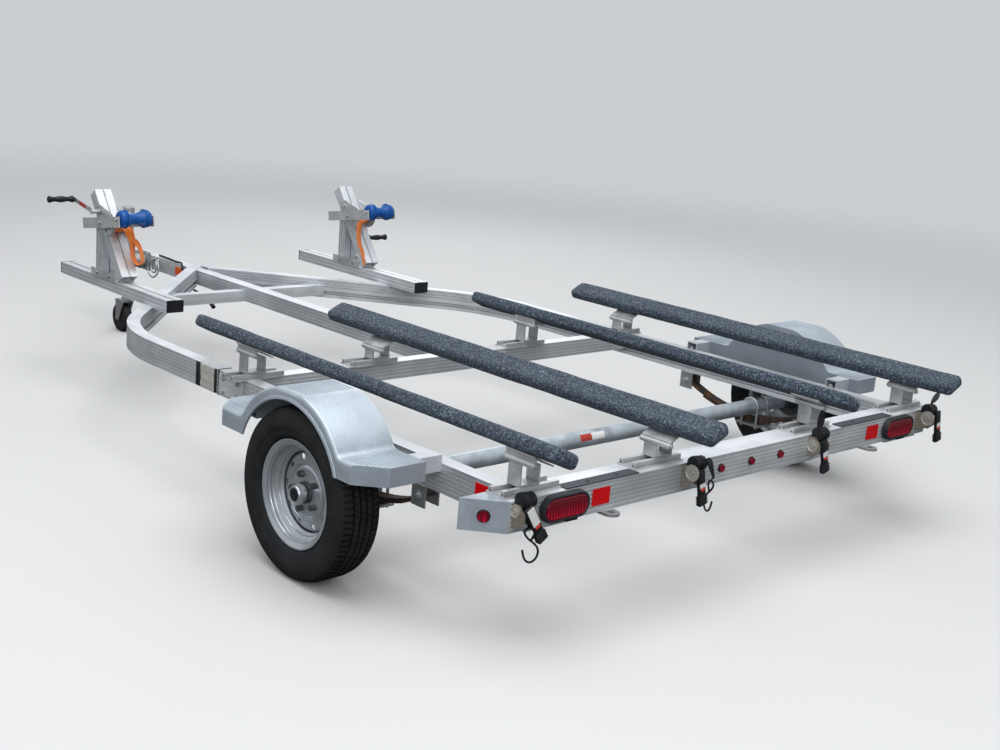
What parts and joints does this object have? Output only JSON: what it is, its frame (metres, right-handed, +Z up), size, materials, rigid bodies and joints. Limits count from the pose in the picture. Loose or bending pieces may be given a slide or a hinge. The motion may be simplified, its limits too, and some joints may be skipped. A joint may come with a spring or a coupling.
{
  "type": "boat trailer",
  "caption": "Low aluminium road trailer for small watercraft, with carpeted bunks, bow stands with winches, arched fenders and a swivel tongue jack on a caster wheel.",
  "frame": {"origin": "on the ground, under the middle of the trailer's whole length and width", "axes": "+X forward to the coupler, +Y to the trailer's left, +Z up"},
  "size_m": [4.556, 2.596, 0.8451],
  "materials": {
    "frame_alloy": "mill finish extrusion, dulled by weather",
    "sheet_alloy": "satin sheet",
    "zinc_plate": "galvanised steel",
    "spring_steel": "dark steel with some rust",
    "tyre_rubber": "matt road tyre",
    "wheel_paint": "silver paint",
    "hub_iron": "bright hub with a dark cap",
    "roller_blue": "blue moulded rubber",
    "strap_webbing": "woven orange strap",
    "bunk_carpet": "short speckled carpet",
    "black_plastic": "matt black",
    "soft_rubber": "dull dark rubber",
    "red_lens": "glossy red lens"
  },
  "bodies": {
    "frame": {"axle": "zinc_plate", "bow_bar_caps": "black_plastic", "bow_bars": "frame_alloy", "bow_braces": "frame_alloy", "bow_foot_plates": "zinc_plate", "bow_posts": "frame_alloy", "bump_stops": "soft_rubber", "bunk_brackets": "zinc_plate", "bunk_inner_left": "bunk_carpet", "bunk_inner_right": "bunk_carpet", "bunk_outer_left": "bunk_carpet", "bunk_outer_right": "bunk_carpet", "corner_boxes": "sheet_alloy", "corner_plates": "zinc_plate", "coupler": "zinc_plate", "coupler_latch": "zinc_plate", "crank_grips": "black_plastic", "crossmember_front": "frame_alloy", "crossmember_nose": "frame_alloy", "crossmember_rear": "frame_alloy", "fender_brackets": "sheet_alloy", "fender_left": "sheet_alloy", "fender_right": "sheet_alloy", "harness": "black_plastic", "jack_bracket": "zinc_plate", "lamp_guards": "soft_rubber", "lamp_mounts": "soft_rubber", "leaf_springs": "spring_steel", "marker_lamps": "red_lens", "rail_left": "frame_alloy", "rail_right": "frame_alloy", "reel_plates": "zinc_plate", "reflectors": "red_lens", "roller_brackets": "zinc_plate", "splice_plates": "frame_alloy", "spring_clamps": "zinc_plate", "spring_hangers": "zinc_plate", "tail_lamps": "red_lens", "tie_down_hooks": "black_plastic", "tie_down_reels": "black_plastic", "tie_rings": "zinc_plate", "tongue": "frame_alloy", "winch_cranks": "zinc_plate", "winch_straps": "strap_webbing", "winches": "zinc_plate"},
    "wheel_left": {"tyre_left": "tyre_rubber", "wheel_rim_left": "wheel_paint", "hub_left": "hub_iron"},
    "wheel_right": {"tyre_right": "tyre_rubber", "wheel_rim_right": "wheel_paint", "hub_right": "hub_iron"},
    "bow_roller_left": {"bow_roller_left": "roller_blue"},
    "bow_roller_right": {"bow_roller_right": "roller_blue"},
    "jack_tube": {"jack_tube": "zinc_plate", "jack_crank": "zinc_plate", "jack_grip": "black_plastic"},
    "jack_leg": {"jack_leg": "zinc_plate"},
    "jack_fork": {"jack_fork": "zinc_plate"},
    "jack_wheel": {"jack_wheel": "black_plastic"}
  },
  "joints": [
    {"name": "wheel_left_spin", "type": "hinge", "parent": "frame", "child": "wheel_left", "pos_m": [-1.422, 1.211, 0.266], "axis": [0, 1, 0], "continuous": true},
    {"name": "wheel_right_spin", "type": "hinge", "parent": "frame", "child": "wheel_right", "pos_m": [-1.422, -1.211, 0.266], "axis": [0, 1, 0], "continuous": true},
    {"name": "bow_roller_left_spin", "type": "hinge", "parent": "frame", "child": "bow_roller_left", "pos_m": [0.705, 0.658, 0.756], "axis": [0, 1, 0], "continuous": true},
    {"name": "bow_roller_right_spin", "type": "hinge", "parent": "frame", "child": "bow_roller_right", "pos_m": [0.705, -0.658, 0.756], "axis": [0, 1, 0], "continuous": true},
    {"name": "jack_swing", "type": "hinge", "parent": "frame", "child": "jack_tube", "pos_m": [1.748, 0.132, 0.375], "axis": [0, 1, 0], "range_deg": [0, 90]},
    {"name": "jack_lift", "type": "slide", "parent": "jack_tube", "child": "jack_leg", "axis": [0, 0, 1], "range_m": [-0.1, 0.12]},
    {"name": "jack_swivel", "type": "hinge", "parent": "jack_leg", "child": "jack_fork", "pos_m": [1.748, 0.132, 0.172], "axis": [0, 0, 1], "continuous": true},
    {"name": "jack_wheel_spin", "type": "hinge", "parent": "jack_fork", "child": "jack_wheel", "pos_m": [1.79, 0.132, 0.075], "axis": [0, 1, 0], "continuous": true}
  ]
}
